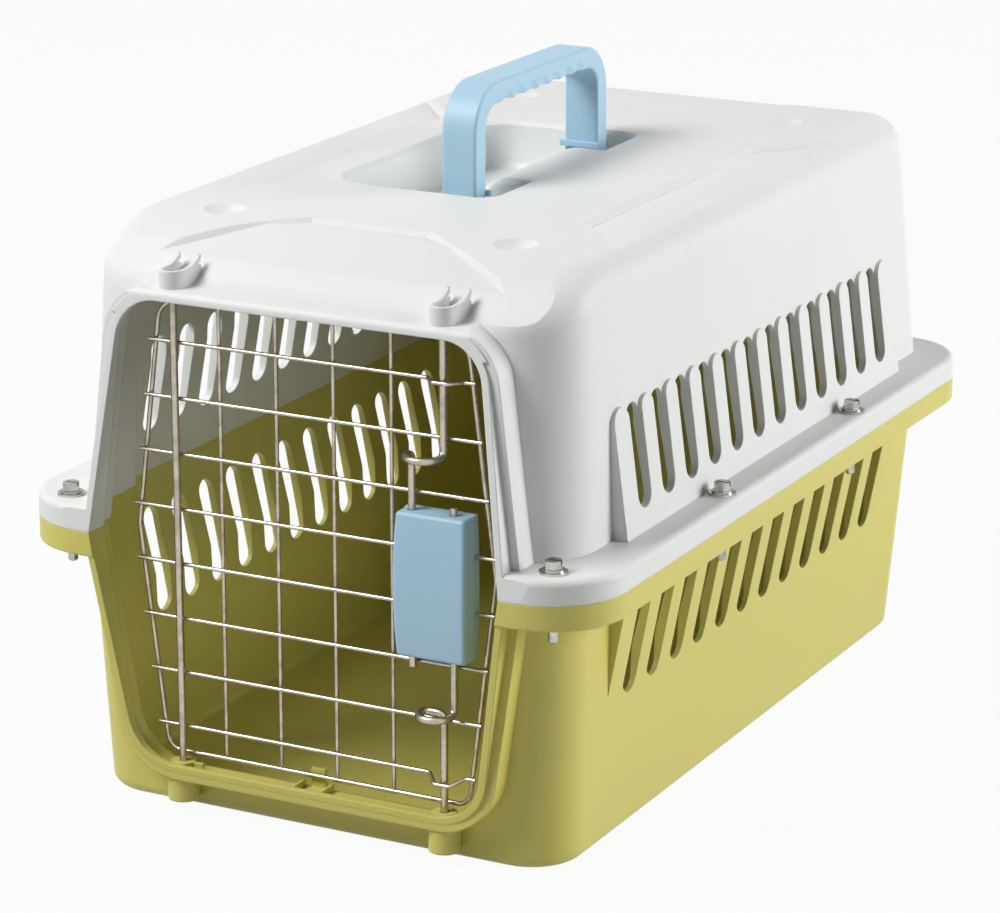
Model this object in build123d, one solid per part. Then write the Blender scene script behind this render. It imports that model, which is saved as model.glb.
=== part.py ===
from build123d import *
from math import cos, radians, sin, tan
import os

# Hard pet carrier: two moulded shells bolted rim to rim, a welded wire door with a
# pinch latch, and a carrying handle that folds into the roof.
# X to the right seen from the front, Y to the back, Z up, origin under the middle
# of the rims on the floor.

# Rims and overall sizes
rim_half_width = 162.5
rim_half_length = 250.0
rim_corner_radius = 40.0
rim_height = 147.0
lower_rim_depth = 13.0
upper_rim_depth = 12.5
rim_skin = 3.0
rim_edge_radius = 3.5
total_height = 299.0

# Walls of the two shells
wall = 2.8
roof_wall = 3.2
floor_wall = 3.0
rim_side_overhang = 23.5
side_draft = 2.2
rim_front_overhang = 20.0
front_draft = 2.5
rim_rear_overhang = 14.0
rear_draft = 8.5
tub_front_radius = 28.0
cover_front_radius = 36.0
rear_corner_radius = 22.0
bottom_edge_radius = 6.0
roof_edge_radius = 19.0
hood_slope = 24.7
hood_length = 61.0
hood_blend_radius = 60.0

# Level ledge over the door and the soft step up from it to the hood
ledge_margin = 5.5
ledge_length = 19.0
ledge_roll = 4.5
step_length = 20.0
step_radius = 14.0
hood_root = 8.0

# Ventilation panels and slots
panel_half_length = 175.0
upper_panel_proud = 9.0
upper_panel_draft = 7.6
lower_panel_proud = 10.5
lower_panel_draft = 10.8
panel_hollow_draft = 2.7
finger_tip = 1.5
slot_count = 12
slot_end_gap = 10.0
slot_width = 14.5
upper_slot_start = 23.5
upper_slot_length = 52.0
lower_slot_start = 18.0
lower_slot_length = 55.5

# Door opening and the stepped frame round it
opening_side_margin = 24.5
opening_upper_taper = 15.5
opening_lower_taper = 18.5
opening_top_margin = 31.5
opening_bottom = 26.5
opening_upper_radius = 22.0
opening_lower_radius = 26.0
frame_lean = 5.0
frame_lip = 3.5
frame_pocket = 4.0
frame_pocket_wall = 3.5
frame_step = 14.0
frame_plate = 3.0

# Roof recess for the folded handle
recess_end_gap = 5.0
recess_right = 25.5
recess_side_gap = 11.0
recess_floor_gap = 4.0
recess_left_radius = 22.0
recess_right_radius = 9.0
recess_floor_radius = 4.5
recess_draft = 5.0
recess_lead = 2.0
saddle_end_gap = 20.0
saddle_low_x = 25.0
saddle_high_x = 4.0
saddle_crest_radius = 16.0
saddle_edge_radius = 4.0

# Sunk panels and dimples of the roof
roof_panel_depth = 3.0
roof_panel_slope = 50.0
roof_panel_width = 48.0
roof_panel_front_y = 112.0
roof_panel_rear_y = 86.0
roof_panel_flare = 70.0
hood_panel_depth = 2.5
hood_panel_half = 33.0
hood_panel_back = 15.0
hood_panel_reach = 40.0
panel_flare = 1.5
rear_panel_length = 38.0
dimple_inset = 57.5
dimple_front_y = 168.0
dimple_rear_y = 155.0
dimple_radius = 11.0
dimple_depth = 4.5

# Wires and rods of the door
grid_radius = 1.0
door_frame_radius = 1.2
rod_radius = 1.9
door_setback = 9.25
cross_wire_top_gap = 20.7
cross_wire_bottom_gap = 14.6
cross_wire_count = 8
cross_wire_stub = 2.5
upright_rod_gap = 23.0
upright_latch_gap = 7.05
upright_count = 4
door_side_gap = 14.0
door_upper_side_gap = 13.5
door_lower_side_gap = 10.0
door_top_gap = 2.5
door_bottom_gap = 3.0
door_upper_corner = 12.0
door_lower_corner = 8.0
rod_inset = 25.5
latch_gap = 0.35
rod_top_margin = 18.0
hinge_rod_bottom = 14.0
latch_rod_bottom = 16.5
bow_dip = 3.0
hinge_running_gap = 0.1
latch_hole_gap = 0.4

# Finger loops of the latch rods
upper_leg_shift = 13.0
lower_leg_shift = 9.7
loop_distance = 28.3
loop_reach = 12.0
loop_bend = 3.4
lower_loop_shift = 6.8
upper_leg_end = 6.5
lower_leg_end = 4.0

# Latch housing
latch_shift = 4.2
latch_drop = 2.0
latch_width = 39.5
latch_height = 73.0
latch_front_depth = 12.0
latch_crown = 2.0
latch_back_depth = 5.0
latch_wall = 2.0
latch_edge_radius = 2.0
room_shelf = 2.3
latch_bore_gap = 0.35
collar_radius = 3.6
collar_height = 2.0
spring_radius = 3.3
spring_wire_radius = 0.4
spring_turns = 6
cover_screw_radius = 1.2
cover_screw_length = 9.0
cover_screw_head_radius = 2.4
cover_screw_head_height = 1.6
cover_screw_inset = 10.0
cover_screw_shift = 1.6

# Hooks and sockets that hold the rods
hook_radius = 6.75
hook_wall = 2.1
hook_top_margin = 17.0
hook_level = 5.0
hook_length = 16.0
hook_horn = 4.5
socket_radius = 8.0
socket_bottom = 6.5
socket_ring_radius = 6.3
socket_ring_height = 4.0

# Screws, washers and nuts through the rims
corner_screw_side_inset = 27.1
corner_screw_front_inset = 16.8
side_screw_inset = 8.3
side_screw_y = 84.5
side_screw_shift = 2.5
rear_screw_x = 90.0
rear_screw_inset = 6.6
screw_radius = 2.5
screw_hole_gap = 0.25
screw_length = 36.0
screw_head_flange_radius = 5.4
screw_head_flange = 1.0
screw_head_across = 8.0
screw_head_height = 4.2
screw_slot_width = 1.3
screw_slot_depth = 1.6
washer_radius = 7.0
washer_thickness = 1.2
nut_across = 8.0
nut_height = 4.0
boss_radius = 6.5

# Handle
handle_half_length = 76.5
handle_half_width = 10.0
handle_x = 1.75
handle_leg = 12.0
handle_grip = 12.0
handle_rise = 64.5
handle_shoulder_radius = 26.0
handle_inner_radius = 12.0
handle_edge_radius = 1.8
handle_pivot_depth = 12.0
handle_pin_radius = 4.0
handle_pin_length = 8.0
handle_pin_gap = 0.1
handle_side_gap = 1.0
pivot_boss_wall = 4.0
foot_lip_width = 24.0
foot_lip = 1.6
foot_lip_low = 7.0
foot_lip_high = 10.0
finger_count = 7
finger_pitch = 13.8
finger_radius = 20.0
finger_depth = 1.1
finger_side_radius = 16.0
finger_side_depth = 1.2

# Derived places
upper_rim_top = rim_height + upper_rim_depth
lower_rim_bottom = rim_height - lower_rim_depth
side_half_width = rim_half_width - rim_side_overhang
front_wall_y = rim_half_length - rim_front_overhang
rear_wall_y = rim_half_length - rim_rear_overhang
frame_plate_y = rim_half_length - frame_step
slot_pitch = 2 * (panel_half_length - slot_end_gap) / slot_count
opening_half_width = side_half_width - opening_side_margin
opening_upper_half_width = opening_half_width - opening_upper_taper
opening_lower_half_width = opening_half_width - opening_lower_taper
opening_top = total_height - opening_top_margin
door_half_width = opening_half_width - door_side_gap
door_upper_half_width = opening_upper_half_width - door_upper_side_gap
door_lower_half_width = opening_lower_half_width - door_lower_side_gap
door_top = opening_top - door_top_gap
door_bottom = opening_bottom + door_bottom_gap
cross_wire_y = frame_plate_y - door_setback
cross_wire_top = door_top - cross_wire_top_gap
cross_wire_bottom = door_bottom + cross_wire_bottom_gap
cross_wire_pitch = (cross_wire_top - cross_wire_bottom) / (cross_wire_count - 1)
hinge_rod_y = -(cross_wire_y + grid_radius + rod_radius)
latch_rod_y = hinge_rod_y - latch_gap
upright_y = -cross_wire_y + 2 * grid_radius
door_frame_y = -cross_wire_y + grid_radius + door_frame_radius
door_back_y = door_frame_y + door_frame_radius
rod_x = door_half_width - rod_inset
latch_x = rod_x - latch_shift
upper_leg_x = latch_x - upper_leg_shift
lower_leg_x = latch_x + lower_leg_shift
lower_loop_left_x = latch_x - lower_loop_shift
cover_screw_x = latch_x - cover_screw_shift
upright_first_x = upright_rod_gap - rod_x
upright_last_x = latch_x - latch_width / 2 - upright_latch_gap
upright_pitch = (upright_last_x - upright_first_x) / (upright_count - 1)
rod_top = total_height - rod_top_margin
hook_top = total_height - hook_top_margin
hood_crease_y = hood_length - frame_plate_y - 5.0
interface_y = -cross_wire_y
upper_held_wire = cross_wire_top - 3 * cross_wire_pitch
lower_held_wire = cross_wire_top - 4 * cross_wire_pitch
latch_bottom = (upper_held_wire + lower_held_wire - latch_height) / 2 - latch_drop
latch_top = latch_bottom + latch_height
room_bottom = lower_held_wire + room_shelf
room_top = upper_held_wire - room_shelf
corner_screw_x = rim_half_width - corner_screw_side_inset
corner_screw_y = rim_half_length - corner_screw_front_inset
side_screw_x = rim_half_width - side_screw_inset
rear_screw_y = rim_half_length - rear_screw_inset
handle_pivot_z = total_height - handle_pivot_depth
handle_top = handle_pivot_z + handle_rise
recess_left = handle_x - handle_rise - recess_end_gap
recess_half_length = handle_half_length + recess_side_gap
recess_depth = handle_pivot_depth + handle_half_width + recess_floor_gap
saddle_half_length = handle_half_length - handle_leg - saddle_end_gap
ledge_z = opening_top + ledge_margin
roof_panel_inner_x = side_half_width - roof_panel_width
dimple_x = side_half_width - dimple_inset
far = 400.0


def front_view(points, y_front, y_back):
    """Solid between two planes across Y, from an outline of (x, z) points."""
    outline = Plane(origin=(0, y_back, 0), x_dir=(1, 0, 0), z_dir=(0, -1, 0))
    return extrude(outline * make_face(Polyline(*points, close=True)), y_back - y_front)


def side_view(points, x_left, x_right):
    """Solid between two planes across X, from an outline of (y, z) points."""
    outline = Plane(origin=(x_left, 0, 0), x_dir=(0, 1, 0), z_dir=(1, 0, 0))
    return extrude(outline * make_face(Polyline(*points, close=True)), x_right - x_left)


def post(radius, x, y, z_bottom, z_top):
    """Upright cylinder between two heights."""
    return Pos(x, y, (z_bottom + z_top) / 2) * Cylinder(radius, z_top - z_bottom)


def block(x_low, x_high, y_low, y_high, z_low, z_high):
    """Box between two corners."""
    middle = Pos((x_low + x_high) / 2, (y_low + y_high) / 2, (z_low + z_high) / 2)
    return middle * Box(x_high - x_low, y_high - y_low, z_high - z_low)


def bent_wire(points, wire_radius, bends):
    """Round wire along straight runs joined by bends, one radius for each corner."""
    spots = [Vector(*point) for point in points]
    pieces = []
    start = spots[0]
    for before, corner, after, bend_radius in zip(spots, spots[1:], spots[2:], bends):
        come = (corner - before).normalized()
        go = (after - corner).normalized()
        half_turn = radians(come.get_angle(go)) / 2
        reach = bend_radius * tan(half_turn)
        enter = corner - come * reach
        leave = corner + go * reach
        inward = (go - come).normalized()
        middle = corner + inward * (bend_radius / cos(half_turn) - bend_radius)
        pieces.append(Line(start, enter))
        pieces.append(ThreePointArc(enter, middle, leave))
        start = leave
    pieces.append(Line(start, spots[-1]))
    path = Wire(pieces)
    section = Plane(origin=spots[0], z_dir=spots[1] - spots[0]) * Circle(wire_radius)
    return sweep(section, path=path)


def front_y(height, inset):
    """Outside or inset face of the front wall at a height."""
    return -(front_wall_y - inset) + abs(height - rim_height) * tan(radians(front_draft))


def rear_y(height, inset):
    """Outside or inset face of the rear wall at a height."""
    return rear_wall_y - inset - abs(height - rim_height) * tan(radians(rear_draft))


def side_x(height, inset):
    """Outside or inset face of the side walls at a height."""
    return side_half_width - inset - abs(height - rim_height) * tan(radians(side_draft))


def hood_z(y, inset):
    """Height of the sloping hood over the door at a place along Y."""
    return total_height - inset + (y - hood_crease_y) * tan(radians(hood_slope))


def round_upright_edges(solid, inset, front_radius):
    """Rounds the four upright corners, larger at the front."""
    upright = solid.edges().filter_by(lambda edge: edge.length > 90).filter_by(
        lambda edge: abs(edge.tangent_at(0.5).Z) > 0.9)
    front = upright.filter_by(lambda edge: edge.center().Y < 0)
    solid = fillet(front, front_radius - inset)
    upright = solid.edges().filter_by(GeomType.LINE).filter_by(
        lambda edge: abs(edge.tangent_at(0.5).Z) > 0.9)
    rear = upright.filter_by(lambda edge: edge.center().Y > rear_wall_y / 2)
    rear = rear.filter_by(lambda edge: abs(edge.center().X) > side_half_width - inset - 12)
    return fillet(rear, rear_corner_radius - inset)


def lower_tub(inset, bottom):
    """Tapered tub under the rim, outside or inset by the wall."""
    profile = [
        (front_y(bottom, inset), bottom),
        (rear_y(bottom, inset), bottom),
        (rear_y(rim_height, inset), rim_height),
        (front_y(rim_height, inset), rim_height),
    ]
    width = [
        (-side_x(bottom, inset), bottom),
        (side_x(bottom, inset), bottom),
        (side_x(rim_height, inset), rim_height),
        (-side_x(rim_height, inset), rim_height),
    ]
    tub = side_view(profile, -far, far) & front_view(width, -far, far)
    tub = round_upright_edges(tub, inset, tub_front_radius)
    ring = tub.edges().filter_by(lambda edge: abs(edge.center().Z - bottom) < 0.01)
    return fillet(ring, bottom_edge_radius - min(inset, wall))


def upper_tub(inset, roof_inset):
    """Tapered cover above the rim with the sloping hood, outside or inset."""
    top = total_height - roof_inset
    crease = hood_crease_y
    meet = front_y(rim_height, inset)
    for step in range(8):
        meet = front_y(hood_z(meet, roof_inset), inset)
    profile = [
        (front_y(rim_height, inset), rim_height),
        (rear_y(rim_height, inset), rim_height),
        (rear_y(top, inset), top),
        (crease, top),
        (meet, hood_z(meet, roof_inset)),
    ]
    width = [
        (-side_x(rim_height, inset), rim_height),
        (side_x(rim_height, inset), rim_height),
        (side_x(top, inset), top),
        (-side_x(top, inset), top),
    ]
    tub = side_view(profile, -far, far) & front_view(width, -far, far)
    tub = round_upright_edges(tub, inset, cover_front_radius)
    ridge = tub.edges().filter_by(
        lambda edge: abs(edge.center().Y - crease) < 0.01 and abs(edge.center().Z - top) < 0.01)
    tub = fillet(ridge, hood_blend_radius)
    roof = tub.edges().filter_by(lambda edge: edge.center().Z > hood_z(meet, roof_inset) - 0.5)
    roof = roof.filter_by(lambda edge: edge.bounding_box().size.X < 2 * side_half_width - 100
                          or abs(edge.center().Y - rear_y(top, inset)) < 1.0)
    return fillet(roof, roof_edge_radius - inset)


def cover_envelope(inset):
    """Everything below the roof, the hood, the step and the ledge over the door."""
    front = -rim_half_length + (ledge_z - rim_height) * tan(radians(frame_lean))
    ledge_end = front + ledge_length
    step_end = ledge_end + step_length
    profile = [
        (-rim_half_length, rim_height),
        (front, ledge_z - inset),
        (ledge_end, ledge_z - inset),
        (step_end, hood_z(step_end, inset)),
        (hood_crease_y, total_height - inset),
        (far, total_height - inset),
        (far, rim_height),
    ]
    solid = side_view(profile, -far, far)
    for (y, z), radius in zip(profile[1:4], (ledge_roll, step_radius, step_radius)):
        edge = solid.edges().filter_by(Axis.X).sort_by_distance((0, y, z))[0]
        solid = fillet(edge, radius)
    return solid


def rim_plate(z_low, z_high, rounded_z, radius):
    """Flat rim with rounded corners, its free outer edge rounded over."""
    outline = RectangleRounded(2 * rim_half_width, 2 * rim_half_length, rim_corner_radius)
    plate = extrude(Pos(0, 0, z_low) * outline, z_high - z_low)
    return fillet(plate.edges().filter_by(
        lambda edge: abs(edge.center().Z - rounded_z) < 0.01), radius)


def vent_panel(inset, direction, proud, draft):
    """Wedge that stands proud of both side walls, widest at the rim."""
    outer = side_half_width + proud - inset
    reach = (proud + 2) / (tan(radians(draft)) - tan(radians(side_draft)))
    far_z = rim_height + direction * reach
    far_x = outer - reach * tan(radians(draft))
    points = [(-outer, rim_height), (outer, rim_height), (far_x, far_z), (-far_x, far_z)]
    return front_view(points, -(panel_half_length - inset), panel_half_length - inset)


def vent_fingers():
    """Band over the rim with round-topped fingers between the upper slots."""
    slot_top = rim_height + upper_slot_start + upper_slot_length
    tip = slot_top + finger_tip
    length = panel_half_length
    shape = block(-far, far, -length, length, rim_height, slot_top - slot_width / 2)
    for index in range(slot_count + 1):
        middle = (index - slot_count / 2) * slot_pitch
        half = (slot_pitch - slot_width) / 2
        low = -length if index == 0 else middle - half
        high = length if index == slot_count else middle + half
        half = (high - low) / 2
        shape += block(-far, far, low, high, rim_height, tip - half)
        shape += Pos(0, (low + high) / 2, tip - half) * Rot(0, 90, 0) * Cylinder(half, 2 * far)
    return shape


def vent_slots(z_low, z_high):
    """Row of upright slots with round ends, through both side walls."""
    height = z_high - z_low
    slot = extrude(Plane.YZ * SlotOverall(height, slot_width, rotation=90), far / 2, both=True)
    slots = []
    for index in range(slot_count):
        y = (index - (slot_count - 1) / 2) * slot_pitch
        slots.append(Pos(0, y, (z_low + z_high) / 2) * slot)
    return slots


def opening(offset, y_front, y_back):
    """Six-sided door opening with rounded upper and lower corners."""
    points = [
        (opening_half_width + offset, rim_height),
        (opening_upper_half_width + offset, opening_top + offset),
        (-opening_upper_half_width - offset, opening_top + offset),
        (-opening_half_width - offset, rim_height),
        (-opening_lower_half_width - offset, opening_bottom - offset),
        (opening_lower_half_width + offset, opening_bottom - offset),
    ]
    solid = front_view(points, y_front, y_back)
    along = solid.edges().filter_by(Axis.Y)
    upper = along.filter_by(lambda edge: edge.center().Z > rim_height + 20)
    solid = fillet(upper, opening_upper_radius + offset)
    along = solid.edges().filter_by(Axis.Y)
    lower = along.filter_by(lambda edge: edge.center().Z < opening_bottom - offset + 1
                            and abs(edge.center().X) > opening_lower_half_width + offset - 1)
    return fillet(lower, opening_lower_radius + offset)


def frame_blank():
    """Stepped frame round the opening, leaning back above and below the rim."""
    front = -rim_half_length
    lean = tan(radians(frame_lean))
    reach = rim_height + 30
    ring = opening(frame_lip, front, -frame_plate_y)
    plate = opening(frame_pocket + frame_pocket_wall, -frame_plate_y - frame_plate, -frame_plate_y)
    sleeve = opening(frame_pocket + frame_pocket_wall, -frame_plate_y, -front_wall_y + 12)
    keep = [
        (front, rim_height),
        (front + lean * reach, rim_height + reach),
        (0, rim_height + reach),
        (0, rim_height - reach),
        (front + lean * reach, rim_height - reach),
    ]
    return (ring + plate + sleeve) & side_view(keep, -far, far)


def frame_hollow():
    """Space inside the frame: the opening, and the wider pocket the door sits in."""
    mouth = opening(0, -rim_half_length - 5, -front_wall_y + 20)
    pocket = opening(frame_pocket, -frame_plate_y, -front_wall_y + 20)
    return mouth + pocket


def screw_places():
    """Places of all rim screws."""
    places = [(side * corner_screw_x, -corner_screw_y) for side in (-1, 1)]
    for side in (-1, 1):
        for y in (-side_screw_y, side_screw_y):
            places.append((side * side_screw_x, y + side_screw_shift))
    places += [(side * rear_screw_x, rear_screw_y) for side in (-1, 1)]
    return places


def rim_channels(z_low, z_high, proud):
    """Hollows on the inner side of both long rims, with a boss left at each screw."""
    inner = side_half_width + proud + rim_skin / 2
    outer = rim_half_width - rim_skin
    length = rim_half_length - rim_corner_radius
    channels = []
    for side in (-1, 1):
        low, high = sorted((side * inner, side * outer))
        channel = block(low, high, -length, length, z_low, z_high)
        for x, y in screw_places():
            channel -= post(boss_radius, x, y, z_low - 1, z_high + 1)
        channels.append(channel)
    return channels


def rod_sockets():
    """Bosses under the opening that take the lower ends of the rods."""
    tray = opening_bottom - frame_pocket
    sockets = []
    for x, y in ((-rod_x, hinge_rod_y), (rod_x, latch_rod_y)):
        sockets.append(post(socket_radius, x, y, socket_bottom, tray))
        sockets.append(post(socket_ring_radius, x, y, tray - 1, tray + socket_ring_height))
        rib = block(x + 4, x + 12, y - 0.8, y + 0.8, tray - 1, tray + socket_ring_height)
        sockets.append(rib)
    return sockets


def door_stop():
    """Two fins and a tab in the middle of the tray, behind the door."""
    tray = opening_bottom - frame_pocket
    back = door_back_y + 0.5
    fins = [block(x - 0.8, x + 0.8, -frame_plate_y, back, tray - 1, tray + 3.5) for x in (-8, 8)]
    tab = block(-4, 4, back - 0.2, back + 1.8, tray - 1, door_bottom + 3.5)
    return fins + [tab]


def make_lower_shell():
    """Lower tub with rim, vents, lower half of the door frame and the rod sockets."""
    shell = lower_tub(0, 0) + vent_panel(0, -1, lower_panel_proud, lower_panel_draft)
    shell += rim_plate(lower_rim_bottom, rim_height, lower_rim_bottom, rim_edge_radius / 3)
    shell += frame_blank()
    for socket in rod_sockets():
        shell += socket
    shell &= block(-far, far, -far, far, 0, rim_height)
    inside = lower_tub(wall, floor_wall) + vent_panel(
        wall, -1, lower_panel_proud, lower_panel_draft + panel_hollow_draft)
    inside -= rod_sockets()[0] + rod_sockets()[3]
    shell -= inside
    shell -= frame_hollow()
    for piece in rod_sockets()[1:3] + rod_sockets()[4:6] + door_stop():
        shell += piece
    z_high = rim_height - lower_slot_start
    shell -= vent_slots(z_high - lower_slot_length, z_high)
    shell -= rim_channels(lower_rim_bottom, rim_height - rim_skin, lower_panel_proud)
    hinge_bore = rod_radius + hinge_running_gap
    shell -= post(hinge_bore, -rod_x, hinge_rod_y, hinge_rod_bottom, rim_height / 2)
    latch_bore = rod_radius + latch_hole_gap
    shell -= post(latch_bore, rod_x, latch_rod_y, latch_rod_bottom - 3, rim_height / 2)
    for x, y in screw_places():
        shell -= post(screw_radius + screw_hole_gap, x, y, lower_rim_bottom - 1, rim_height)
        nut = RegularPolygon(nut_across / 2, 6, major_radius=False)
        shell -= extrude(Pos(x, y, lower_rim_bottom) * nut, nut_height)
    return shell


def hook_blank(x, y):
    """Hook boss on the ledge, a U open to the back with a horn at each end."""
    reach = hook_length - hook_level
    curve = (reach ** 2 + hook_horn ** 2) / (2 * hook_horn)
    low = ledge_z - ledge_margin / 2
    high = hook_top + hook_horn
    boss = block(x - hook_radius, x + hook_radius, y, y + hook_length, low, high)
    boss += post(hook_radius, x, y, low, high)
    boss -= block(x - 10, x + 10, y - 10, y + hook_level, hook_top, high + 1)
    bend = Pos(x, y + hook_level, hook_top + curve) * Rot(0, 90, 0)
    return boss - bend * Cylinder(curve, 4 * hook_radius)


def hook_hollow(x, y):
    """Space inside a hook, down to the ledge and the step."""
    radius = hook_radius - hook_wall
    high = hook_top + hook_horn + 1
    space = block(x - radius, x + radius, y, y + hook_length + 5, opening_top, high)
    space += post(radius, x, y, opening_top, high)
    return space - cover_envelope(0)


def roof_recess(inset):
    """Bowl in the roof for the folded handle, with a saddle between two pockets."""
    floor = total_height - recess_depth + inset
    left = recess_left + inset
    right = recess_right - inset
    outline = Pos((left + right) / 2, 0, total_height) * Rectangle(
        right - left, 2 * (recess_half_length - inset))
    corners = outline.vertices().group_by(Axis.X)
    outline = fillet(corners[0], recess_left_radius - inset)
    corners = outline.vertices().filter_by(lambda corner: corner.X > right - 1)
    outline = fillet(corners, recess_right_radius - inset)
    bowl = extrude(outline, floor - total_height, taper=recess_draft)
    bowl = fillet(bowl.faces().sort_by(Axis.Z)[0].edges(), recess_floor_radius)
    bowl += extrude(outline, 1)
    bowl += extrude(offset(outline, recess_lead), -recess_lead, taper=45)
    low_x = handle_x - saddle_low_x - inset
    high_x = handle_x + saddle_high_x - inset
    end = saddle_half_length + inset
    points = [
        (low_x, floor - 5),
        (low_x, floor),
        (high_x, total_height),
        (right + 20, total_height),
        (right + 20, floor - 5),
    ]
    saddle = front_view(points, -end, end)
    crest = saddle.edges().filter_by(Axis.Y).sort_by_distance((high_x, 0, total_height))[0]
    saddle = fillet(crest, saddle_crest_radius)
    sides = saddle.edges().filter_by(
        lambda edge: abs(edge.tangent_at(0.5).Y) < 0.1 and edge.center().Z > floor + 1
        and abs(edge.tangent_at(0.5).X) > 0.3)
    return bowl - fillet(sides, saddle_edge_radius)


def pivot_bosses():
    """Bosses on the end walls of the recess that carry the pins of the handle."""
    radius = handle_pin_radius + pivot_boss_wall
    near = handle_half_length + handle_side_gap
    wall_y = recess_half_length - handle_pivot_depth * tan(radians(recess_draft))
    width = wall_y + wall / 2 - near
    floor = total_height - recess_depth
    bosses = []
    for side in (-1, 1):
        middle = side * (near + width / 2)
        boss = Pos(handle_x, middle, handle_pivot_z) * Rot(90, 0, 0) * Cylinder(radius, width)
        low, high = sorted((side * near, side * (near + width)))
        boss += block(handle_x - radius, handle_x + radius, low, high, floor - 1, handle_pivot_z)
        bosses.append(boss)
    return bosses


def roof_panels(extra):
    """Sunk panels along the sides of the roof, on the hood and at the rear, and four dimples."""
    depth = roof_panel_depth + extra
    outer_x = side_half_width + 8
    level = Pos(0, 0, total_height + 0.01)
    cuts = []
    for side in (-1, 1):
        points = [
            (side * roof_panel_inner_x, -roof_panel_front_y),
            (side * outer_x, -roof_panel_front_y - roof_panel_flare),
            (side * outer_x, roof_panel_rear_y + roof_panel_flare),
            (side * roof_panel_inner_x, roof_panel_rear_y),
        ]
        face = level * make_face(Polyline(*points, close=True))
        cuts.append(extrude(face, -depth, taper=roof_panel_slope))
    start = Plane(origin=(0, hood_crease_y, total_height + 0.01))
    slope = Plane(origin=(0, hood_crease_y, total_height), x_dir=(1, 0, 0),
                  z_dir=(0, -sin(radians(hood_slope)), cos(radians(hood_slope))))
    for plane, inner, outer in ((start, hood_panel_back, -8), (slope, 8, -hood_panel_reach)):
        half_inner = hood_panel_half + (hood_panel_back - inner) * panel_flare
        half_outer = hood_panel_half + (hood_panel_back - outer) * panel_flare
        points = [
            (half_inner, inner),
            (half_outer, outer),
            (-half_outer, outer),
            (-half_inner, inner),
        ]
        face = plane * make_face(Polyline(*points, close=True))
        cuts.append(extrude(face, -hood_panel_depth - extra, taper=roof_panel_slope))
    rear = rear_y(total_height, 0)
    half_outer = hood_panel_half + (rear_panel_length + 8) * panel_flare
    points = [
        (-hood_panel_half, rear - rear_panel_length),
        (hood_panel_half, rear - rear_panel_length),
        (half_outer, rear + 8),
        (-half_outer, rear + 8),
    ]
    face = level * make_face(Polyline(*points, close=True))
    cuts.append(extrude(face, -hood_panel_depth - extra, taper=roof_panel_slope))
    ball = (dimple_radius ** 2 + dimple_depth ** 2) / (2 * dimple_depth)
    for x in (-dimple_x, dimple_x):
        for y in (-dimple_front_y, dimple_rear_y):
            cuts.append(Pos(x, y, total_height - dimple_depth - extra + ball) * Sphere(ball))
    return cuts


def make_upper_shell():
    """Upper cover with rim, vents, upper half of the door frame, hooks and roof recess."""
    panel = vent_panel(0, 1, upper_panel_proud, upper_panel_draft)
    shell = upper_tub(0, 0) + (panel & vent_fingers())
    shell += rim_plate(rim_height, upper_rim_top, upper_rim_top, rim_edge_radius)
    hood = block(-opening_upper_half_width - ledge_margin, opening_upper_half_width + ledge_margin,
                 -rim_half_length, -front_wall_y + 12, opening_top - hood_root, total_height)
    shell += frame_blank()
    shell += hood & opening(ledge_margin, -rim_half_length, -front_wall_y + 12)
    shell &= cover_envelope(0)
    shell &= block(-far, far, -far, far, rim_height, total_height)
    hooks = ((-rod_x, hinge_rod_y), (rod_x, latch_rod_y))
    for x, y in hooks:
        shell += hook_blank(x, y)
    inside = upper_tub(wall, roof_wall) & cover_envelope(roof_wall)
    inside += vent_panel(wall, 1, upper_panel_proud, upper_panel_draft + panel_hollow_draft)
    inside -= roof_recess(-wall)
    for keep in roof_panels(roof_wall):
        inside -= keep
    shell -= inside
    shell -= roof_recess(0)
    shell -= frame_hollow()
    for x, y in hooks:
        shell -= hook_hollow(x, y)
    for cut in roof_panels(0):
        shell -= cut
    z_low = rim_height + upper_slot_start
    shell -= vent_slots(z_low, z_low + upper_slot_length)
    shell -= rim_channels(rim_height, upper_rim_top - rim_skin, upper_panel_proud)
    hinge_bore = rod_radius + hinge_running_gap
    hole_bottom = opening_top - hood_root
    shell -= post(hinge_bore, -rod_x, hinge_rod_y, hole_bottom, total_height)
    latch_bore = rod_radius + latch_hole_gap
    shell -= post(latch_bore, rod_x, latch_rod_y, hole_bottom, total_height)
    for x, y in screw_places():
        shell -= post(screw_radius + screw_hole_gap, x, y, rim_height, upper_rim_top + 1)
    for boss in pivot_bosses():
        shell += boss
    for side in (-1, 1):
        bore_y = side * (handle_half_length + handle_pin_length / 2)
        shell -= Pos(handle_x, bore_y, handle_pivot_z) * Rot(90, 0, 0) * Cylinder(
            handle_pin_radius + handle_pin_gap, handle_pin_length + 1)
    return shell


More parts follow.
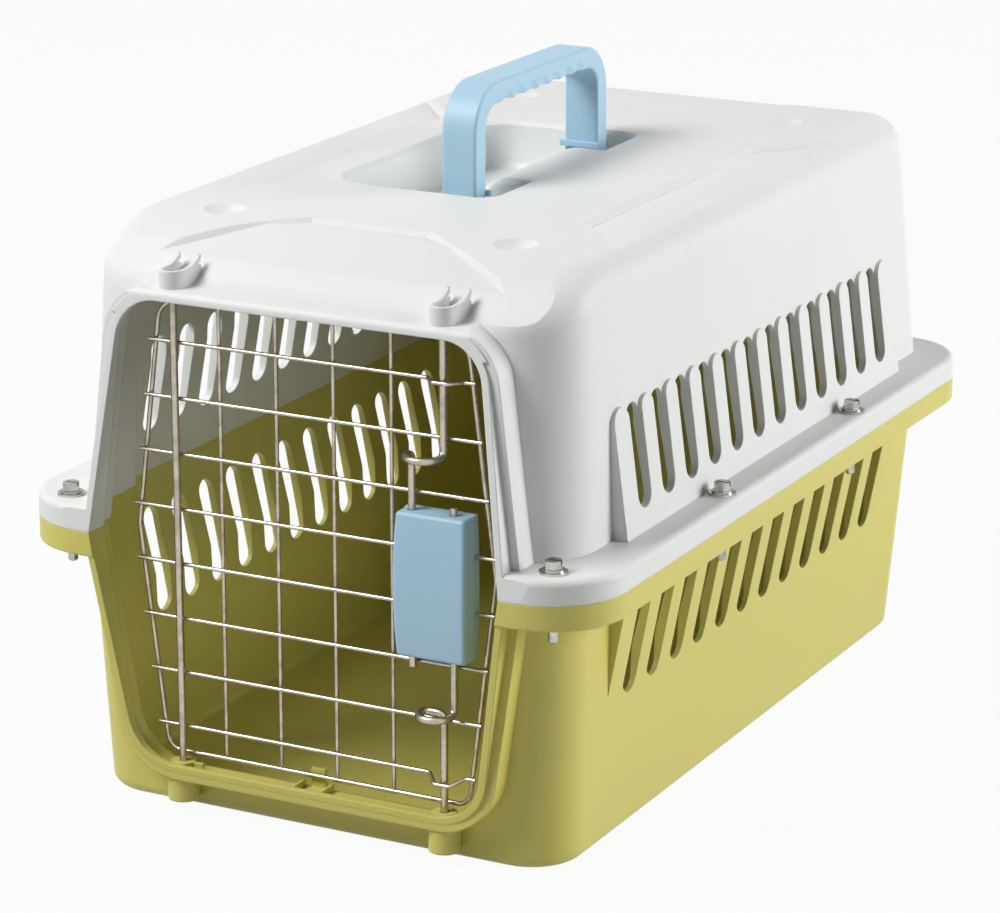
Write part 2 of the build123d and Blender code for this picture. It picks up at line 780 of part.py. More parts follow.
def make_handle():
    """Folding handle: grip and two legs in one piece, with pivot pins at the feet."""
    foot = handle_pivot_z
    grip_bottom = handle_top - handle_grip
    outline = [
        (-handle_half_length, foot),
        (-handle_half_length, handle_top),
        (handle_half_length, handle_top),
        (handle_half_length, foot),
        (handle_half_length - handle_leg, foot),
        (handle_half_length - handle_leg, grip_bottom),
        (-handle_half_length + handle_leg, grip_bottom),
        (-handle_half_length + handle_leg, foot),
    ]
    body = side_view(outline, handle_x - handle_half_width, handle_x + handle_half_width)
    across = body.edges().filter_by(Axis.X)
    shoulders = across.filter_by(lambda edge: edge.center().Z > handle_top - 1)
    body = fillet(shoulders, handle_shoulder_radius)
    across = body.edges().filter_by(Axis.X).filter_by(
        lambda edge: abs(edge.center().Z - grip_bottom) < 1)
    body = fillet(across, handle_inner_radius)
    long_edges = body.edges().filter_by(
        lambda edge: abs(abs(edge.center().X - handle_x) - handle_half_width) < 0.01)
    long_edges = long_edges.filter_by(lambda edge: edge.center().Z > foot + 0.1)
    body = fillet(long_edges, handle_edge_radius)
    for index in range(finger_count):
        y = (index - (finger_count - 1) / 2) * finger_pitch
        z = grip_bottom - finger_radius + finger_depth
        body -= Pos(handle_x, y, z) * Rot(0, 90, 0) * Cylinder(
            finger_radius, 3 * handle_half_width)
        for side in (-1, 1):
            reach = handle_half_width + finger_side_radius - finger_side_depth
            body -= Pos(handle_x + side * reach, y, grip_bottom) * Sphere(finger_side_radius)
    for side in (-1, 1):
        turn = Rot(90, 0, 0)
        leg_y = side * (handle_half_length - handle_leg / 2)
        body += Pos(handle_x, leg_y, foot) * turn * Cylinder(handle_half_width, handle_leg)
        inner = handle_half_length - handle_leg
        low, high = sorted((side * (inner - foot_lip), side * (inner + 1)))
        body += block(handle_x - foot_lip_width / 2, handle_x + foot_lip_width / 2,
                      low, high, foot + foot_lip_low, foot + foot_lip_high)
        pin_y = side * (handle_half_length + handle_pin_length / 2)
        body += Pos(handle_x, pin_y, foot) * turn * Cylinder(
            handle_pin_radius, handle_pin_length)
    return body


def make_door_frame_wire():
    """Six-sided hoop of wire round the door, its ends butted at the bottom."""
    y = door_frame_y
    points = [
        (0, y, door_bottom),
        (door_lower_half_width, y, door_bottom),
        (door_half_width, y, rim_height),
        (door_upper_half_width, y, door_top),
        (0, y, door_top),
    ]
    bends = [door_lower_corner, door_upper_corner, door_upper_corner]
    right = bent_wire(points, door_frame_radius, bends)
    return right + mirror(right, about=Plane.YZ)


def door_edge_x(z):
    """Half width of the door hoop at a height."""
    if z > rim_height:
        share = (z - rim_height) / (door_top - rim_height)
        return door_half_width + share * (door_upper_half_width - door_half_width)
    share = (rim_height - z) / (rim_height - door_bottom)
    return door_half_width + share * (door_lower_half_width - door_half_width)


def make_door_cross_wires():
    """Level wires of the door; the first and the last bow forward round a latch rod."""
    wires = []
    y = -cross_wire_y
    around = latch_rod_y - rod_radius - grid_radius - latch_hole_gap
    for index in range(cross_wire_count):
        z = cross_wire_top - index * cross_wire_pitch
        end = door_edge_x(z) + cross_wire_stub
        if index in (0, cross_wire_count - 1):
            dip = -bow_dip if index else 0.0
            points = [
                (-end, y, z),
                (rod_x - 10, y, z),
                (rod_x - 4, around, z + dip),
                (rod_x + 4, around, z + dip),
                (rod_x + 10, y, z),
                (end, y, z),
            ]
            wires.append(bent_wire(points, grid_radius, [2.2] * 4))
        else:
            wires.append(Pos(0, y, z) * Rot(0, 90, 0) * Cylinder(grid_radius, 2 * end))
    return Compound(children=wires)


def make_door_upright_wires():
    """Upright wires of the door, butted against the hoop above and below."""
    low = door_bottom + door_frame_radius
    high = door_top - door_frame_radius
    wires = []
    for index in range(upright_count):
        x = upright_first_x + index * upright_pitch
        wires.append(post(grid_radius, x, upright_y, low, high))
    return Compound(children=wires)


def make_hinge_rod():
    """Thick rod down the left of the door that it turns on."""
    rod = post(rod_radius, -rod_x, hinge_rod_y, hinge_rod_bottom, rod_top)
    return chamfer(rod.edges(), 0.5)


def make_upper_latch_rod():
    """Rod from the right hook down through a finger loop into the housing."""
    y = latch_rod_y
    z = latch_top + loop_distance
    points = [
        (rod_x, y, rod_top),
        (rod_x, y, z),
        (rod_x, y - loop_reach, z),
        (upper_leg_x, y - loop_reach, z),
        (upper_leg_x, y, z),
        (upper_leg_x, y, latch_bottom - upper_leg_end),
    ]
    turn = (rod_x - upper_leg_x) / 2 - 0.1
    return bent_wire(points, rod_radius, [loop_bend, turn, turn, loop_bend])


def make_lower_latch_rod():
    """Rod from the housing down through a finger loop into the right socket."""
    y = latch_rod_y
    z = latch_bottom - loop_distance
    points = [
        (lower_leg_x, y, latch_top + lower_leg_end),
        (lower_leg_x, y, z),
        (lower_leg_x, y - loop_reach, z),
        (lower_loop_left_x, y - loop_reach, z),
        (lower_loop_left_x, y, z),
        (rod_x, y, z),
        (rod_x, y, latch_rod_bottom),
    ]
    turn = (lower_leg_x - lower_loop_left_x) / 2 - 0.1
    bends = [loop_bend, turn, turn, loop_bend, loop_bend]
    return bent_wire(points, rod_radius, bends)


def make_collar(x, z):
    """Ring crimped on a latch rod for the spring to push on."""
    ring = post(collar_radius, x, latch_rod_y, z, z + collar_height)
    return ring - post(rod_radius, x, latch_rod_y, z - 1, z + collar_height + 1)


def make_spring(x, z_low, z_high):
    """Compression spring round a latch rod."""
    height = z_high - z_low - 2 * spring_wire_radius
    coil = Helix(height / spring_turns, height, spring_radius)
    section = Plane(origin=coil @ 0, z_dir=coil % 0) * Circle(spring_wire_radius)
    spring = sweep(section, path=coil, is_frenet=True)
    return Pos(x, latch_rod_y, z_low + spring_wire_radius) * spring


def cover_screw_places():
    """Heights of the two small screws that hold the housing together."""
    return (latch_bottom + cover_screw_inset, latch_top - cover_screw_inset)


def latch_passages():
    """Channels for both latch rods and for the two cross wires in the housing."""
    y = latch_rod_y
    radius = rod_radius + latch_bore_gap
    spaces = []
    for x in (upper_leg_x, lower_leg_x):
        low = latch_bottom - 5
        high = latch_top + 5
        spaces.append(post(radius, x, y, low, high))
        spaces.append(block(x - radius, x + radius, y, interface_y, low, high))
    for index in range(cross_wire_count):
        z = cross_wire_top - index * cross_wire_pitch
        if latch_bottom < z < latch_top:
            wire = Pos(latch_x, interface_y, z) * Rot(0, 90, 0)
            spaces.append(wire * Cylinder(grid_radius, latch_width + 20))
    return spaces


def latch_outline():
    """Face of the housing with gently bowed long sides."""
    half = latch_width / 2
    top = latch_top
    left = ThreePointArc((-half + 1, latch_bottom), (-half, (latch_bottom + top) / 2),
                         (-half + 1, top))
    right = ThreePointArc((half - 1, top), (half, (latch_bottom + top) / 2),
                          (half - 1, latch_bottom))
    upper = Line((-half + 1, top), (half - 1, top))
    lower = Line((half - 1, latch_bottom), (-half + 1, latch_bottom))
    return make_face([left, upper, right, lower])


def latch_solid(y_front, y_back):
    """Housing outline between two planes across Y."""
    place = Plane(origin=(latch_x, y_back, 0), x_dir=(1, 0, 0), z_dir=(0, -1, 0))
    return extrude(place * latch_outline(), y_back - y_front)


def make_latch_front_cover():
    """Front half of the latch housing, crowned outside and hollow inside."""
    front = interface_y - latch_front_depth
    body = latch_solid(front, interface_y)
    middle = latch_bottom + latch_height / 2
    sweep_radius = (latch_height ** 2 / 4 + latch_crown ** 2) / (2 * latch_crown)
    crown = Pos(latch_x, front + sweep_radius, middle) * Rot(0, 90, 0)
    body &= crown * Cylinder(sweep_radius, 2 * latch_width)
    outer = body.edges().filter_by(lambda edge: edge.center().Y < interface_y - 1)
    body = fillet(outer, latch_edge_radius)
    half = latch_width / 2 - latch_wall - 1
    skin = front + latch_wall + latch_crown
    rooms = [
        (latch_bottom + latch_wall, lower_held_wire - room_shelf),
        (room_bottom, room_top),
        (upper_held_wire + room_shelf, latch_top - latch_wall),
    ]
    for low, high in rooms:
        body -= block(latch_x - half, latch_x + half, skin, interface_y, low, high)
    for z in cover_screw_places():
        place = Pos(cover_screw_x, (skin + interface_y) / 2, z) * Rot(90, 0, 0)
        body += place * Cylinder(cover_screw_radius + 2.2, interface_y - skin)
        hole = Pos(cover_screw_x, interface_y, z) * Rot(90, 0, 0)
        body -= hole * Cylinder(cover_screw_radius, 2 * (cover_screw_length - latch_back_depth + 2))
    for space in latch_passages():
        body -= space
    return body


def make_latch_back_cover():
    """Back half of the latch housing, a plate with grooves for the wires."""
    back = interface_y + latch_back_depth
    body = latch_solid(interface_y, back)
    outer = body.edges().filter_by(lambda edge: edge.center().Y > back - 0.1)
    body = fillet(outer, 1.0)
    half = latch_width / 2 - latch_wall - 1
    depth = latch_rod_y + max(spring_radius + spring_wire_radius, collar_radius) + 0.6
    body -= block(latch_x - half, latch_x + half, interface_y, depth, room_bottom, room_top)
    for z in cover_screw_places():
        turn = Rot(90, 0, 0)
        body -= Pos(cover_screw_x, back, z) * turn * Cylinder(
            cover_screw_head_radius + 0.1, 2 * cover_screw_head_height)
        body -= Pos(cover_screw_x, back, z) * turn * Cylinder(
            cover_screw_radius + 0.1, 2 * latch_back_depth + 2)
    for space in latch_passages():
        body -= space
    return body


def make_latch_cover_screws():
    """Two small round-head screws from the back of the housing."""
    back = interface_y + latch_back_depth
    screws = []
    for z in cover_screw_places():
        turn = Rot(90, 0, 0)
        head_y = back - cover_screw_head_height / 2
        head = Pos(cover_screw_x, head_y, z) * turn * Cylinder(
            cover_screw_head_radius, cover_screw_head_height)
        head -= block(cover_screw_x - 3, cover_screw_x + 3, back - 0.7, back + 1, z - 0.4, z + 0.4)
        shank_length = cover_screw_length - cover_screw_head_height
        shank_y = back - cover_screw_head_height - shank_length / 2
        shank = Pos(cover_screw_x, shank_y, z) * turn * Cylinder(cover_screw_radius, shank_length)
        screws.append(head + shank)
    return Compound(children=screws)


def rim_screw(x, y, seat):
    """Hexagon-head screw with a slot and a small collar under the head."""
    hexagon = RegularPolygon(screw_head_across / 2, 6, major_radius=False)
    top = seat + screw_head_flange + screw_head_height
    screw = post(screw_head_flange_radius, x, y, seat, seat + screw_head_flange)
    screw += extrude(Pos(x, y, seat) * hexagon, top - seat)
    half = screw_slot_width / 2
    screw -= block(x - 10, x + 10, y - half, y + half, top - screw_slot_depth, top + 1)
    shank = post(screw_radius, x, y, seat - screw_length, seat)
    tip = shank.edges().filter_by(lambda edge: edge.center().Z < seat - screw_length + 0.1)
    return screw + chamfer(tip, 0.7)


def make_rim_screws(places):
    """Screws down through both rims at the given places."""
    seat = upper_rim_top + washer_thickness
    return Compound(children=[rim_screw(x, y, seat) for x, y in places])


def make_rim_washers():
    """Flat washer under each rim screw head."""
    washers = []
    for x, y in screw_places():
        ring = post(washer_radius, x, y, upper_rim_top, upper_rim_top + washer_thickness)
        hole = post(screw_radius + screw_hole_gap, x, y, rim_height, upper_rim_top + 5)
        washers.append(ring - hole)
    return Compound(children=washers)


def make_rim_nuts():
    """Hexagon nut held in a pocket under the lower rim at each screw."""
    nuts = []
    for x, y in screw_places():
        hexagon = RegularPolygon(nut_across / 2, 6, major_radius=False)
        nut = extrude(Pos(x, y, lower_rim_bottom) * hexagon, nut_height)
        nuts.append(nut - post(screw_radius, x, y, 0, rim_height))
    return Compound(children=nuts)


places = screw_places()
upper_collar_z = room_top - collar_height
parts = {
    "lower_shell": make_lower_shell(),
    "upper_shell": make_upper_shell(),
    "handle": make_handle(),
    "door_frame_wire": make_door_frame_wire(),
    "door_cross_wires": make_door_cross_wires(),
    "door_upright_wires": make_door_upright_wires(),
    "hinge_rod": make_hinge_rod(),
    "upper_latch_rod": make_upper_latch_rod(),
    "lower_latch_rod": make_lower_latch_rod(),
    "upper_rod_collar": make_collar(upper_leg_x, upper_collar_z),
    "lower_rod_collar": make_collar(lower_leg_x, room_bottom),
    "upper_latch_spring": make_spring(upper_leg_x, room_bottom, upper_collar_z),
    "lower_latch_spring": make_spring(lower_leg_x, room_bottom + collar_height, room_top),
    "latch_front_cover": make_latch_front_cover(),
    "latch_back_cover": make_latch_back_cover(),
    "latch_cover_screws": make_latch_cover_screws(),
    "front_screws": make_rim_screws(places[0:2]),
    "side_screws": make_rim_screws(places[2:6]),
    "rear_screws": make_rim_screws(places[6:8]),
    "screw_washers": make_rim_washers(),
    "rim_nuts": make_rim_nuts(),
}

os.makedirs("parts", exist_ok=True)
for name, part in parts.items():
    export_step(part, "parts/" + name + ".step")
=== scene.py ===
import math

import bpy
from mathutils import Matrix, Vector


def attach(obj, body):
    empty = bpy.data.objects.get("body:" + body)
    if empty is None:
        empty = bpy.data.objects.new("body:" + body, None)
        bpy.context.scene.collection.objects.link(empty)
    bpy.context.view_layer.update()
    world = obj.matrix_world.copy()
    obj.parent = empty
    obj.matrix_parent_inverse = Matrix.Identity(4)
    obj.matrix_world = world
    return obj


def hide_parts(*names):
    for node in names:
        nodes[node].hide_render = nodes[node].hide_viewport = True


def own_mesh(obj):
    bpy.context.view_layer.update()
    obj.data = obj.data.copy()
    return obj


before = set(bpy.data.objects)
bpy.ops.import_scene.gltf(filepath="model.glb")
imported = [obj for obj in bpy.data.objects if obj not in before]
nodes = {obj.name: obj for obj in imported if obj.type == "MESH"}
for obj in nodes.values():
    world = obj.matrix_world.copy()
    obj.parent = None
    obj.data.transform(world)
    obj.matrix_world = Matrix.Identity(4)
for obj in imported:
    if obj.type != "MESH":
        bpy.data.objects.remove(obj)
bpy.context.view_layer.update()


# Studio: a pale seamless floor, with soft lamps at the front left, above and at the right.
# The camera stands where the picture was taken, right of the door and a little above.
# Floor and world turn plain white for the camera and for what mirrors or passes light.
scene = bpy.context.scene
scene.view_settings.view_transform = "Standard"

camera_place = (0.91918, -1.79973, 0.74230)
camera_dip = math.radians(16.50)
camera_turn = math.radians(27.56)
camera_data = bpy.data.cameras.new("camera")
camera_data.sensor_width = 36.0
camera_data.lens = 140.92
camera_data.shift_x = 0.0101
camera_data.shift_y = -0.0140
camera_data.clip_end = 50.0
camera = bpy.data.objects.new("camera", camera_data)
camera.location = camera_place
camera.rotation_euler = (math.pi / 2 - camera_dip, 0, camera_turn)
scene.collection.objects.link(camera)
scene.camera = camera


def backdrop_strength(material_nodes, links, camera_share):
    """Light Path sum that is camera_share for the camera and for mirrored or passed rays."""
    path = material_nodes.new("ShaderNodeLightPath")
    total = path.outputs["Is Camera Ray"]
    for ray in ("Is Glossy Ray", "Is Transmission Ray"):
        either = material_nodes.new("ShaderNodeMath")
        either.operation = "ADD"
        either.use_clamp = True
        links.new(total, either.inputs[0])
        links.new(path.outputs[ray], either.inputs[1])
        total = either.outputs[0]
    share = material_nodes.new("ShaderNodeMath")
    share.operation = "MULTIPLY"
    share.inputs[1].default_value = camera_share
    links.new(total, share.inputs[0])
    return share.outputs[0]


floor_half = 9.0
floor_drop = 0.0004
floor_grey = (0.60, 0.60, 0.60, 1)
floor_camera_share = 0.94
floor_mesh = bpy.data.meshes.new("studio_floor")
floor_mesh.from_pydata(
    [(-floor_half, -floor_half, 0), (floor_half, -floor_half, 0),
     (floor_half, floor_half, 0), (-floor_half, floor_half, 0)], [], [(0, 1, 2, 3)])
floor = bpy.data.objects.new("studio_floor", floor_mesh)
floor.location.z = -floor_drop
scene.collection.objects.link(floor)
floor_paint = bpy.data.materials.new("studio_floor")
floor_paint.use_nodes = True
tree = floor_paint.node_tree
tree.nodes.clear()
floor_out = tree.nodes.new("ShaderNodeOutputMaterial")
floor_matte = tree.nodes.new("ShaderNodeBsdfDiffuse")
floor_matte.inputs["Color"].default_value = floor_grey
floor_white = tree.nodes.new("ShaderNodeEmission")
floor_white.inputs["Strength"].default_value = 1.0
floor_mix = tree.nodes.new("ShaderNodeMixShader")
floor_seen = backdrop_strength(tree.nodes, tree.links, floor_camera_share)
tree.links.new(floor_seen, floor_mix.inputs["Fac"])
tree.links.new(floor_matte.outputs[0], floor_mix.inputs[1])
tree.links.new(floor_white.outputs[0], floor_mix.inputs[2])
tree.links.new(floor_mix.outputs[0], floor_out.inputs["Surface"])
floor_mesh.materials.append(floor_paint)

sky_colour = (0.96, 0.98, 1.0, 1)
sky_strength = 0.06
world = bpy.data.worlds.new("studio")
scene.world = world
world.use_nodes = True
tree = world.node_tree
tree.nodes.clear()
world_out = tree.nodes.new("ShaderNodeOutputWorld")
world_seen = tree.nodes.new("ShaderNodeBackground")
world_seen.inputs["Color"].default_value = (1, 1, 1, 1)
world_light = tree.nodes.new("ShaderNodeBackground")
world_light.inputs["Color"].default_value = sky_colour
world_light.inputs["Strength"].default_value = sky_strength
world_mix = tree.nodes.new("ShaderNodeMixShader")
tree.links.new(backdrop_strength(tree.nodes, tree.links, 1.0), world_mix.inputs["Fac"])
tree.links.new(world_light.outputs[0], world_mix.inputs[1])
tree.links.new(world_seen.outputs[0], world_mix.inputs[2])
tree.links.new(world_mix.outputs[0], world_out.inputs["Surface"])

# Each lamp has its place, its width and its power, and faces the middle of the carrier.
lamp_aim = Vector((0, 0, 0.15))
lamps = {
    "lamp_front_left": ((-1.15, -1.40, 2.05), 1.2, 59.0),
    "lamp_overhead": ((-0.9, 0.4, 2.3), 1.6, 7.0),
    "lamp_right": ((2.4, 1.3, 0.9), 1.5, 66.0),
}
for name, (place, width, power) in lamps.items():
    lamp = bpy.data.lights.new(name, "AREA")
    lamp.size = width
    lamp.energy = power
    lamp_object = bpy.data.objects.new(name, lamp)
    lamp_object.location = place
    facing = lamp_aim - Vector(place)
    lamp_object.rotation_euler = facing.to_track_quat("-Z", "Y").to_euler()
    scene.collection.objects.link(lamp_object)


# Lower shell: the lime tub that the animal lies in, injection moulded in polypropylene.
# Its rim turns down round the edge, ventilation slots run along both sides, and the
# lower half of the stepped door frame stands at the front with the rods' sockets.
def moulded_grain_group():
    """Fine moulded skin: a height, a soft mottling and faint scuffs."""
    group = bpy.data.node_groups.new("moulded grain", "ShaderNodeTree")
    for name in ("Grain size", "Mottle size"):
        group.interface.new_socket(name, in_out="INPUT", socket_type="NodeSocketFloat")
    for name in ("Height", "Mottle", "Scuffs"):
        group.interface.new_socket(name, in_out="OUTPUT", socket_type="NodeSocketFloat")
    ins = group.nodes.new("NodeGroupInput")
    outs = group.nodes.new("NodeGroupOutput")
    where = group.nodes.new("ShaderNodeTexCoord")
    grain = group.nodes.new("ShaderNodeTexNoise")
    grain.inputs["Detail"].default_value = 3.0
    grain.inputs["Roughness"].default_value = 0.6
    mottle = group.nodes.new("ShaderNodeTexNoise")
    mottle.inputs["Detail"].default_value = 4.0
    mottle.inputs["Roughness"].default_value = 0.55
    stretch = group.nodes.new("ShaderNodeMapping")
    stretch.inputs["Rotation"].default_value = (0.5, 0.3, 0.7)
    stretch.inputs["Scale"].default_value = (1.0, 9.0, 1.0)
    scuff = group.nodes.new("ShaderNodeTexNoise")
    scuff.inputs["Scale"].default_value = 60.0
    scuff.inputs["Detail"].default_value = 2.0
    pick = group.nodes.new("ShaderNodeMapRange")
    pick.inputs["From Min"].default_value = 0.62
    pick.inputs["From Max"].default_value = 0.80
    link = group.links.new
    for texture in (grain, mottle):
        link(where.outputs["Object"], texture.inputs["Vector"])
    link(where.outputs["Object"], stretch.inputs["Vector"])
    link(stretch.outputs[0], scuff.inputs["Vector"])
    link(ins.outputs["Grain size"], grain.inputs["Scale"])
    link(ins.outputs["Mottle size"], mottle.inputs["Scale"])
    link(grain.outputs["Fac"], outs.inputs["Height"])
    link(mottle.outputs["Fac"], outs.inputs["Mottle"])
    link(scuff.outputs["Fac"], pick.inputs["Value"])
    link(pick.outputs["Result"], outs.inputs["Scuffs"])
    return group


def soft_edge_group():
    """Rounded-over edges: their normal, and a mask that is brightest on the edge."""
    group = bpy.data.node_groups.new("soft edges", "ShaderNodeTree")
    group.interface.new_socket("Radius", in_out="INPUT", socket_type="NodeSocketFloat")
    group.interface.new_socket("Normal", in_out="OUTPUT", socket_type="NodeSocketVector")
    group.interface.new_socket("Edge", in_out="OUTPUT", socket_type="NodeSocketFloat")
    ins = group.nodes.new("NodeGroupInput")
    outs = group.nodes.new("NodeGroupOutput")
    bevel = group.nodes.new("ShaderNodeBevel")
    bevel.samples = 6
    flat = group.nodes.new("ShaderNodeNewGeometry")
    dot = group.nodes.new("ShaderNodeVectorMath")
    dot.operation = "DOT_PRODUCT"
    pick = group.nodes.new("ShaderNodeMapRange")
    pick.inputs["From Min"].default_value = 1.0
    pick.inputs["From Max"].default_value = 0.80
    link = group.links.new
    link(ins.outputs["Radius"], bevel.inputs["Radius"])
    link(bevel.outputs["Normal"], outs.inputs["Normal"])
    link(bevel.outputs["Normal"], dot.inputs[0])
    link(flat.outputs["Normal"], dot.inputs[1])
    link(dot.outputs["Value"], pick.inputs["Value"])
    link(pick.outputs["Result"], outs.inputs["Edge"])
    return group


moulded_grain = moulded_grain_group()
soft_edge = soft_edge_group()


def moulded_plastic(name, colour, worn_colour, roughness, edge_radius, grain_depth):
    """Injection-moulded polypropylene with a fine skin and rounded, slightly rubbed edges."""
    grains_per_metre = 900.0
    mottles_per_metre = 9.0
    edge_wear = 0.35
    scuff_dulling = 0.08
    material = bpy.data.materials.new(name)
    material.use_nodes = True
    tree = material.node_tree
    bsdf = tree.nodes["Principled BSDF"]
    bsdf.inputs["IOR"].default_value = 1.49
    grain = tree.nodes.new("ShaderNodeGroup")
    grain.node_tree = moulded_grain
    grain.inputs["Grain size"].default_value = grains_per_metre
    grain.inputs["Mottle size"].default_value = mottles_per_metre
    edge = tree.nodes.new("ShaderNodeGroup")
    edge.node_tree = soft_edge
    edge.inputs["Radius"].default_value = edge_radius
    body = tree.nodes.new("ShaderNodeMix")
    body.data_type = "RGBA"
    body.inputs["A"].default_value = (*[c * 0.97 for c in colour], 1)
    body.inputs["B"].default_value = (*[min(1.0, c * 1.03) for c in colour], 1)
    rubbed = tree.nodes.new("ShaderNodeMath")
    rubbed.operation = "MULTIPLY"
    rubbed.inputs[1].default_value = edge_wear
    worn = tree.nodes.new("ShaderNodeMix")
    worn.data_type = "RGBA"
    worn.inputs["B"].default_value = (*worn_colour, 1)
    gloss = tree.nodes.new("ShaderNodeMapRange")
    gloss.inputs["To Min"].default_value = roughness - 0.05
    gloss.inputs["To Max"].default_value = roughness + 0.07
    scuffed = tree.nodes.new("ShaderNodeMath")
    scuffed.operation = "MULTIPLY_ADD"
    scuffed.inputs[1].default_value = scuff_dulling
    bump = tree.nodes.new("ShaderNodeBump")
    bump.inputs["Strength"].default_value = 0.35
    bump.inputs["Distance"].default_value = grain_depth
    link = tree.links.new
    link(grain.outputs["Mottle"], body.inputs["Factor"])
    link(edge.outputs["Edge"], rubbed.inputs[0])
    link(rubbed.outputs[0], worn.inputs["Factor"])
    link(body.outputs["Result"], worn.inputs["A"])
    link(worn.outputs["Result"], bsdf.inputs["Base Color"])
    link(grain.outputs["Mottle"], gloss.inputs["Value"])
    link(grain.outputs["Scuffs"], scuffed.inputs[0])
    link(gloss.outputs["Result"], scuffed.inputs[2])
    link(scuffed.outputs[0], bsdf.inputs["Roughness"])
    link(grain.outputs["Height"], bump.inputs["Height"])
    link(edge.outputs["Normal"], bump.inputs["Normal"])
    link(bump.outputs["Normal"], bsdf.inputs["Normal"])
    return material


def dress(node_name, material):
    """Gives a frame node its finish."""
    node = nodes[node_name]
    node.data.materials.clear()
    node.data.materials.append(material)


lime_plastic = moulded_plastic(
    "lime plastic", colour=(0.635, 0.580, 0.135), worn_colour=(0.72, 0.67, 0.26),
    roughness=0.42, edge_radius=0.0011, grain_depth=0.00010)
dress("lower_shell", lime_plastic)


# Upper shell: the pale cover, moulded in the same way, bolted rim to rim on the tub.
# The hood slopes down to the door with two hooks for the rods, and the roof is sunk
# for the folded handle.
grey_plastic = moulded_plastic(
    "pale grey plastic", colour=(0.775, 0.785, 0.765), worn_colour=(0.84, 0.84, 0.83),
    roughness=0.48, edge_radius=0.0011, grain_depth=0.00010)
dress("upper_shell", grey_plastic)


# Handle: a blue grip with finger hollows and two legs, moulded in one piece.
# Round pins at its feet turn in bosses on the end walls of the roof recess.
blue_plastic = moulded_plastic(
    "blue plastic", colour=(0.400, 0.610, 0.765), worn_colour=(0.50, 0.68, 0.82),
    roughness=0.44, edge_radius=0.0008, grain_depth=0.00008)
dress("handle", blue_plastic)


# Door: drawn steel wires welded where they cross and plated with nickel.
# A thick rod at the left is its hinge; two of the level wires bow round the latch rods.
def drawn_wire(name, colour, dull_colour, roughness):
    """Plated steel with fine streaks and spots, and painted shade that darkens it where it
    curves away.
    """
    painted_grazing_shade = 0.35
    material = bpy.data.materials.new(name)
    material.use_nodes = True
    tree = material.node_tree
    bsdf = tree.nodes["Principled BSDF"]
    bsdf.inputs["Metallic"].default_value = 1.0
    where = tree.nodes.new("ShaderNodeTexCoord")
    spots = tree.nodes.new("ShaderNodeTexNoise")
    spots.inputs["Scale"].default_value = 140.0
    spots.inputs["Detail"].default_value = 4.0
    streak = tree.nodes.new("ShaderNodeTexNoise")
    streak.inputs["Scale"].default_value = 1200.0
    streak.inputs["Detail"].default_value = 2.0
    tone = tree.nodes.new("ShaderNodeMix")
    tone.data_type = "RGBA"
    tone.inputs["A"].default_value = (*colour, 1)
    tone.inputs["B"].default_value = (*dull_colour, 1)
    # Painted shade: the colour darkens towards the outline of each wire and head, where it
    # turns away from the camera.
    facing = tree.nodes.new("ShaderNodeLayerWeight")
    facing.inputs["Blend"].default_value = 0.30
    rounded = tree.nodes.new("ShaderNodeMix")
    rounded.data_type = "RGBA"
    rounded.inputs["B"].default_value = (*[c * painted_grazing_shade for c in dull_colour], 1)
    pick = tree.nodes.new("ShaderNodeMapRange")
    pick.inputs["From Min"].default_value = 0.42
    pick.inputs["From Max"].default_value = 0.70
    gloss = tree.nodes.new("ShaderNodeMapRange")
    gloss.inputs["To Min"].default_value = roughness - 0.06
    gloss.inputs["To Max"].default_value = roughness + 0.10
    bump = tree.nodes.new("ShaderNodeBump")
    bump.inputs["Strength"].default_value = 0.15
    bump.inputs["Distance"].default_value = 0.00004
    link = tree.links.new
    for texture in (spots, streak):
        link(where.outputs["Object"], texture.inputs["Vector"])
    link(spots.outputs["Fac"], pick.inputs["Value"])
    link(pick.outputs["Result"], tone.inputs["Factor"])
    link(facing.outputs["Facing"], rounded.inputs["Factor"])
    link(tone.outputs["Result"], rounded.inputs["A"])
    link(rounded.outputs["Result"], bsdf.inputs["Base Color"])
    link(spots.outputs["Fac"], gloss.inputs["Value"])
    link(gloss.outputs["Result"], bsdf.inputs["Roughness"])
    link(streak.outputs["Fac"], bump.inputs["Height"])
    link(bump.outputs["Normal"], bsdf.inputs["Normal"])
    return material


# The nickel carries painted shade towards the outline of each wire and rod.
nickel_wire = drawn_wire(
    "nickel wire", colour=(0.60, 0.54, 0.46), dull_colour=(0.40, 0.35, 0.29), roughness=0.26)
for wire in ("door_frame_wire", "door_cross_wires", "door_upright_wires", "hinge_rod"):
    dress(wire, nickel_wire)


# Latch: a blue moulded housing in two halves, clamped on two level wires of the door.
# A bent plated rod slides in it above and another below, each with a finger loop and a
# collar, and pinching the loops together draws them from the hook and the socket.
for cover in ("latch_front_cover", "latch_back_cover"):
    dress(cover, blue_plastic)
for rod in ("upper_latch_rod", "lower_latch_rod", "upper_rod_collar", "lower_rod_collar",
            "upper_latch_spring", "lower_latch_spring"):
    dress(rod, nickel_wire)
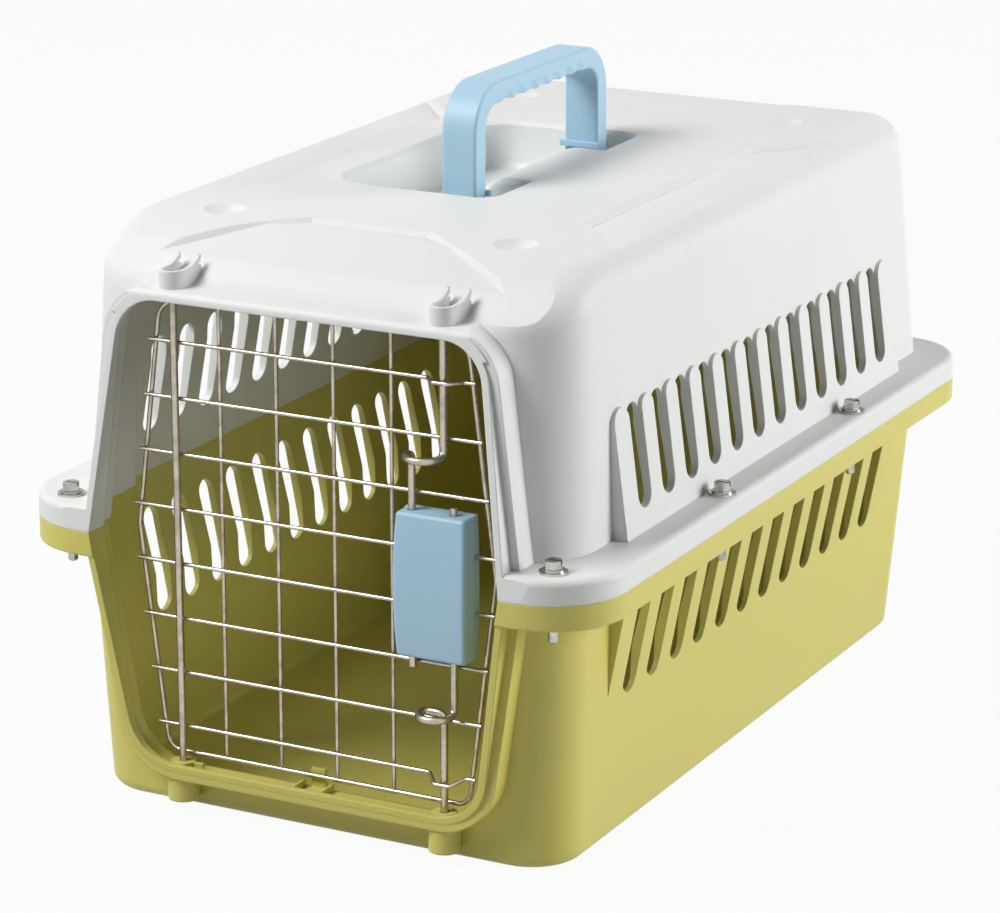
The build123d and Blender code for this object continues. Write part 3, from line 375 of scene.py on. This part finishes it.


# Springs: a coil of thin steel wire round each rod, between the housing and the collar.
# On the carrier a coil stays on the housing and shortens as the collar comes towards it; each
# one here is drawn at one length.
def spring_coil(node_name):
    """Coil in the place of a frame node, drawn at the length of that node."""
    wire_radius = 0.0004
    turns = 6
    steps = 24
    sides = 8
    node = nodes[node_name]
    corners = [node.matrix_world @ Vector(corner) for corner in node.bound_box]
    low = Vector([min(corner[axis] for corner in corners) for axis in range(3)])
    high = Vector([max(corner[axis] for corner in corners) for axis in range(3)])
    middle = (low + high) / 2
    coil_radius = (high.x - low.x) / 2 - wire_radius
    rise = high.z - low.z - 2 * wire_radius
    points = []
    for step in range(turns * steps + 1):
        turn = 2 * math.pi * step / steps
        out = Vector((math.cos(turn), math.sin(turn), 0))
        height = low.z + wire_radius + rise * step / (turns * steps)
        for side in range(sides):
            angle = 2 * math.pi * side / sides
            reach = coil_radius + wire_radius * math.cos(angle)
            spot = Vector((middle.x, middle.y, height)) + out * reach
            points.append(spot + Vector((0, 0, wire_radius * math.sin(angle))))
    faces = []
    for step in range(turns * steps):
        for side in range(sides):
            near = step * sides + side
            beside = step * sides + (side + 1) % sides
            faces.append((near, near + sides, beside + sides, beside))
    last = turns * steps * sides
    faces.append(tuple(range(sides)))
    faces.append(tuple(last + side for side in reversed(range(sides))))
    mesh = bpy.data.meshes.new(node_name + "_coil")
    mesh.from_pydata(points, [], faces)
    mesh.shade_smooth()
    mesh.materials.append(nickel_wire)
    coil = bpy.data.objects.new(node_name + "_coil", mesh)
    scene.collection.objects.link(coil)
    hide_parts(node_name)
    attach(coil, "door")
    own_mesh(coil)


spring_coil("upper_latch_spring")
spring_coil("lower_latch_spring")


# Rim screws: slotted hexagon heads on washers, bright zinc plated, with nuts below.
# They clamp the two rims together at the corners and along the sides.
# The zinc carries the same painted shade where the heads and nuts curve away.
bright_zinc = drawn_wire(
    "bright zinc", colour=(0.62, 0.61, 0.58), dull_colour=(0.36, 0.35, 0.33), roughness=0.22)
for screw in ("front_screws", "side_screws", "rear_screws", "screw_washers", "rim_nuts",
              "latch_cover_screws"):
    dress(screw, bright_zinc)
